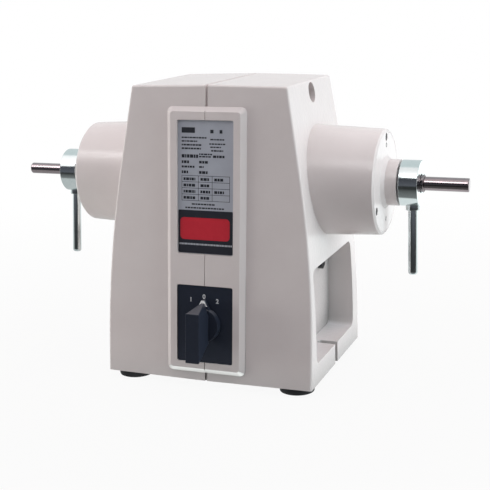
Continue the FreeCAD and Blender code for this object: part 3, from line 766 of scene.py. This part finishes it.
def blank_fields(left, right):
    """Rows of plain blocks and a ruled table where a rating plate has its fields."""
    head = name_top - 7.5
    head_height = 5.5
    bars = [(left + start, left + end, head - head_height, head - drop)
            for start, end, drop in ((0, 14.5, 0), (31, 34.5, 2), (41, 44, 2))]

    # Each row: drop from the head, height, start and end
    rows = ((9.4, 1.5, 0, 27), (13.0, 1.5, 0, 17), (16.6, 1.7, 0, 22), (20.2, 1.7, 0, 21),
            (11.0, 1.4, 31, 46), (15.4, 1.4, 30, 47), (18.6, 1.3, 31, 43), (22.0, 1.6, 32, 45),
            (27.0, 3.4, 0, 18), (25.8, 1.5, 19, 33), (28.2, 1.5, 19, 32), (27.4, 2.4, 34, 47),
            (33.2, 2.8, 0, 8), (33.2, 2.6, 19, 29), (38.4, 2.0, 0, 14), (38.4, 1.8, 19, 24),
            (43.4, 2.8, 0, 7), (43.4, 2.8, 19, 29), (76.2, 1.5, 11, 36), (80.0, 1.5, 4, 46))
    for k, (drop, height, start, end) in enumerate(rows):
        bars += dashes(left + start, left + end, head - drop - height, height, k)

    table_top = head - 48.5
    table_rows, row, line = 4, 6.3, 0.45
    for k in range(table_rows + 1):
        bars.append((left, right, table_top - row * k, table_top - row * k + line))
    for u in (left, left + 18, left + 33, right - line):
        bars.append((u, u + line, table_top - table_rows * row, table_top))
    block_drop, block_height = 4.6, 2.8
    for k in range(table_rows):
        low = table_top - row * k - block_drop
        for n, (start, end) in enumerate(((2, 15), (20.5, 31), (35.5, 46))):
            if n < 2 or k % 2 == 0:     # the last column has a block in every other row
                bars += dashes(left + start, left + end, low, block_height, k + 3 * n)
    return bars


def name_plate():
    """Rating plate without a word: blocks and a ruled table, and on a dark band a red bar."""
    edge = recess_half_width - plate_gap
    left, right = -edge + 4, edge - 4
    top = name_floor + plate_thickness
    on_band = top + band_print
    band_top = name_bottom + band_height
    plate_box = (-edge, edge, name_bottom + plate_gap, name_top - plate_gap)
    plate = rounded_slab("rating_plate", plate_box, 1.6, name_floor, top)
    dress(settle(soften(plate, 0.2)), "machine", "name_plate", anodised, ("name_plate",))
    band_box = (-edge + 0.3, edge - 0.3, name_bottom + 0.7, band_top)
    band = rounded_slab("plate_dark_band", band_box, 1.4, top, on_band)
    dress(settle(band), "machine", "name_plate", dark_print)
    red_box = (-edge + 2.5, right, name_bottom + 14.5, band_top - 7.5)
    red = rounded_slab("plate_red_bar", red_box, 4.0, on_band, top + 2 * band_print)
    dress(settle(red), "machine", "name_plate", red_print)
    printed_bars("plate_fields", blank_fields(left, right), top, ruled_print)
    rule = dashes(left - 2.5, right + 2.5, name_bottom + 9.0, 1.7, 2)
    printed_bars("plate_band_rule", rule, on_band, pale_print)


def knob_outline(low, shoulder, tip, half, tip_half):
    """Six-sided outline of the handle, pointed at the top."""
    return [(-half, low), (half, low), (half, shoulder), (tip_half, tip), (-tip_half, tip),
            (-half, shoulder)]


def switch_knob():
    """Round skirt, flat pointer with a painted tip, and the overhanging grip."""
    steps = 72
    circle = [(math.cos(2 * math.pi * k / steps), math.sin(2 * math.pi * k / steps))
              for k in range(steps)]
    foot, blade_top, mark_top = 4.0, 9.0, 9.06
    grip_foot, grip_top = 8.0, 36.7
    rings = ((17.5, foot), (17.5, 9.6), (17.1, 10.6), (16.1, 11.0))     # radius and height
    skirt = lofted("switch_skirt", [([(u * r, v * r) for u, v in circle], w) for r, w in rings])
    dress(settle(skirt), "switch_handle", "switch_black", phenolic, ("switch_knob",))
    pointer = knob_outline(low=0, shoulder=14, tip=26.0, half=8, tip_half=1.8)
    blade = lofted("switch_pointer", [(pointer, foot), (pointer, blade_top)])
    dress(settle(soften(blade, 0.4)), "switch_handle", "switch_black", phenolic)
    root = knob_outline(low=-17, shoulder=10.5, tip=23.4, half=6.8, tip_half=1.3)
    crown = knob_outline(low=-33.3, shoulder=16.6, tip=17.2, half=7.4, tip_half=6.6)
    grip = lofted("switch_grip", [(root, grip_foot), (crown, grip_top)])
    dress(settle(soften(grip, 0.6, 3)), "switch_handle", "switch_black", phenolic)
    outer = [(-4.9, 19.8), (-1.7, 25.8), (1.7, 25.8), (4.9, 19.8)]
    inner = [(2.6, 19.8), (0.6, 23.0), (-0.6, 23.0), (-2.6, 19.8)]
    mark = lofted("pointer_mark", [(outer + inner, blade_top), (outer + inner, mark_top)])
    dress(settle(mark), "switch_handle", "switch_black", pointer_paint)


name_plate()
refined("switch_plate", "switch_front", 0.3)
switch_knob()


def flat_text(name, words, size, place, height):
    """Plain raised figure on the switch plate, standing upright at (across, up)."""
    curve = bpy.data.curves.new(name, "FONT")
    curve.body = words
    curve.size = size * MM
    curve.align_x = "CENTER"
    curve.align_y = "CENTER"
    curve.extrude = 0.03 * MM
    curve.offset = 0.12 * MM
    text = piece_from(name, curve)
    mesh = evaluated_mesh(text)
    bpy.data.objects.remove(text)
    mesh.transform(front @ Matrix.Translation((place[0] * MM, place[1] * MM, height * MM)))
    return dress(piece_from(name, mesh), "machine", "switch_black", mark_ink)


def switch_marks():
    """Figures 1, 0 and 2 round the handle, thirty degrees apart."""
    face = switch_floor + switch_thickness
    across, up = mark_shift
    for figure, angle in (("1", -30), ("0", 0), ("2", 30)):
        a = math.radians(angle)
        place = (mark_radius * math.sin(a) + across, mark_radius * math.cos(a) + up)
        flat_text("mark_" + figure, figure, mark_size, place, face + 0.02)


switch_marks()


# ---------------------------------------------------------------- small hardware


for node_name in ("feet", "tie_bolts", "tie_nuts", "cable_gland"):
    refined(node_name, "dressed_" + node_name, 0.5)


# ---------------------------------------------------------------- floor, light and camera


def floor_glow(tree, place):
    """Brightness of the floor in gloss: dark in front, bright beneath and behind, metres."""
    depth = add(tree, "ShaderNodeVectorMath", {0: place, 1: (-0.32, 1.0, 0.0)},
                operation="DOT_PRODUCT").outputs["Value"]
    from_foot = add(tree, "ShaderNodeVectorMath", {0: place, 1: (-0.02, -0.11, 0.0)},
                    operation="DISTANCE").outputs["Value"]
    in_front = mapped(tree, depth, -0.55, -0.15, 0.04, 0.22)
    beneath = mapped(tree, separated(tree, place)["X"], -0.2, 0.2, 0.62, 1.0)
    border = mapped(tree, depth, -0.125, -0.108)
    near = add(tree, "ShaderNodeMix", {"Factor": border, "A": in_front, "B": beneath})
    beyond = mapped(tree, depth, 0.3, 0.8, 0.0, 0.5)
    wide = maths(tree, "ADD", near.outputs["Result"], beyond)
    # A bright patch in gloss at the foot of the front panel, which the painted highlight there reflects.
    at_foot = mapped(tree, from_foot, 0.07, 0.10, 1.15, 0.0)
    return maths(tree, "MAXIMUM", wide, at_foot)


def studio_floor():
    """Pale floor, shown near white; in gloss it has a brightness of its own."""
    half = 3.0
    corners = [(-half, -half, 0), (half, -half, 0), (half, half, 0), (-half, half, 0)]
    piece = piece_of("studio_floor", corners, [(0, 1, 2, 3)])
    material, tree, place = new_material("pale_floor")
    distance = add(tree, "ShaderNodeVectorMath", {0: place}, operation="LENGTH").outputs["Value"]
    whiteness = mapped(tree, distance, 0.30, 1.0, 0.93, 1.0)
    path, seen = path_and_seen(tree)
    lit = add(tree, "ShaderNodeBsdfDiffuse", {"Color": srgb("ABAAA8")})
    in_gloss = add(tree, "ShaderNodeEmission", {
        "Color": srgb("F2F6F6"), "Strength": floor_glow(tree, place)})
    white = add(tree, "ShaderNodeEmission", {"Color": srgb("FFFFFF"), "Strength": 1.0})
    unseen = mixed_shader(tree, path["Is Glossy Ray"], lit, in_gloss)
    share = maths(tree, "MULTIPLY", seen, whiteness)
    finish_material(tree, mixed_shader(tree, share, unseen, white))
    piece.data.materials.append(material)


def studio_world():
    """White surroundings; gloss sees them brightest in front, darker and cooler to the back."""
    world = bpy.data.worlds.new("studio")
    bpy.context.scene.world = world
    world.use_nodes = True
    tree = world.node_tree
    tree.nodes.clear()
    direction = separated(tree, add(tree, "ShaderNodeTexCoord").outputs["Generated"])
    back = mapped(tree, direction["Y"], -0.05, 0.15)
    front_level = mapped(tree, direction["Z"], 0.75, 0.95, 1.45, 1.05)
    back_level = 0.76
    level = add(tree, "ShaderNodeMix", {"Factor": back, "A": front_level, "B": back_level})
    in_gloss = add(tree, "ShaderNodeBackground", {
        "Color": blended(tree, back, "FFFAFA", "F3FCFD"), "Strength": level.outputs["Result"]})
    fill = add(tree, "ShaderNodeBackground", {"Color": srgb("FEF8F9"), "Strength": 1.36})
    white = add(tree, "ShaderNodeBackground", {"Color": srgb("FFFFFF"), "Strength": 1.0})
    path, seen = path_and_seen(tree)
    lit = mixed_shader(tree, path["Is Glossy Ray"], fill, in_gloss)
    shown = mixed_shader(tree, seen, lit, white)
    add(tree, "ShaderNodeOutputWorld", {"Surface": shown.outputs[0]})


def dark_screen():
    """Curved dark screen in front, lower on the left: it draws the dark band in the bright metal.

    It glows a little, grey at the foot and nearly black at the top, so that the front isn't black.
    """
    radius, height, low_height, foot = 1.5, 1.5, 0.75, 0.02
    start, end, steps = -165, -15, 30
    rise_start, rise_width = -130, 32       # degrees over which the screen gains its full height
    points, faces = [], []
    for k in range(steps + 1):
        angle = math.radians(start + (end - start) * k / steps)
        rise = min(1.0, max(0.0, (math.degrees(angle) - rise_start) / rise_width))
        top = low_height + (height - low_height) * rise
        points += [(radius * math.cos(angle), radius * math.sin(angle), z) for z in (foot, top)]
    for k in range(steps):
        faces.append((2 * k, 2 * k + 1, 2 * k + 3, 2 * k + 2))
    piece = piece_of("dark_screen", points, faces)
    material, tree, place = new_material("dark_screen")
    share = mapped(tree, separated(tree, place)["Z"], 0.0, height)
    colour = blended(tree, share, "62636A", "12141F")
    glow = add(tree, "ShaderNodeEmission", {"Color": colour, "Strength": 1.0})
    finish_material(tree, glow)
    piece.data.materials.append(material)
    piece.visible_camera = False


def aim(holder, place, target):
    """Puts a lamp or a camera in its place and turns it to a point."""
    holder.location = place
    holder.rotation_mode = "QUATERNION"
    holder.rotation_quaternion = (target - Vector(place)).to_track_quat("-Z", "Y")
    bpy.context.scene.collection.objects.link(holder)


def soft_light(name, place, size, power, colour):
    """Square lamp aimed at the machine, hidden from the camera and from gloss."""
    lamp = bpy.data.lights.new(name, "AREA")
    lamp.shape = "SQUARE"
    lamp.size = size
    lamp.energy = power
    lamp.color = srgb(colour)[:3]
    holder = bpy.data.objects.new(name, lamp)
    holder.visible_camera = False
    holder.visible_glossy = False
    aim(holder, place, lamp_target)
    return holder


def gloss_light(name, place, length, height, power):
    """White lamp that works in gloss only, for a bright line on the shafts or the left barrel."""
    holder = soft_light(name, place, length, power, "FFFFFF")
    holder.data.shape = "RECTANGLE"
    holder.data.size_y = height
    holder.visible_glossy = True
    holder.visible_diffuse = False


def camera():
    data = bpy.data.cameras.new("camera")
    data.lens = camera_lens
    data.sensor_width = camera_sensor
    data.shift_x, data.shift_y = camera_shift
    holder = bpy.data.objects.new("camera", data)
    aim(holder, camera_place, camera_target)
    holder.rotation_quaternion @= Quaternion((0, 0, 1), math.radians(camera_roll))
    bpy.context.scene.camera = holder


studio_floor()
studio_world()
dark_screen()
soft_light("key_low_from_the_right", (1.40, -0.10, 0.12), 0.8, 13.0, "DAF2F6")
soft_light("high_from_the_right", (1.10, -0.1, 1.10), 0.8, 2.6, "F4FFFF")
soft_light("top_light", (0.15, 0.3, 1.9), 1.5, 2.0, "FAFFFF")
soft_light("low_from_the_left", (-0.75, -0.30, 0.06), 0.35, 3.4, "FAFFFA")
gloss_light("gloss_on_the_right", (0.04, -0.87, 1.03), 0.22, 0.36, 1.1)
gloss_light("gloss_on_the_left", (-0.78, -0.70, 0.99), 0.28, 0.18, 1.5)
camera()
bpy.context.scene.view_settings.view_transform = "Standard"
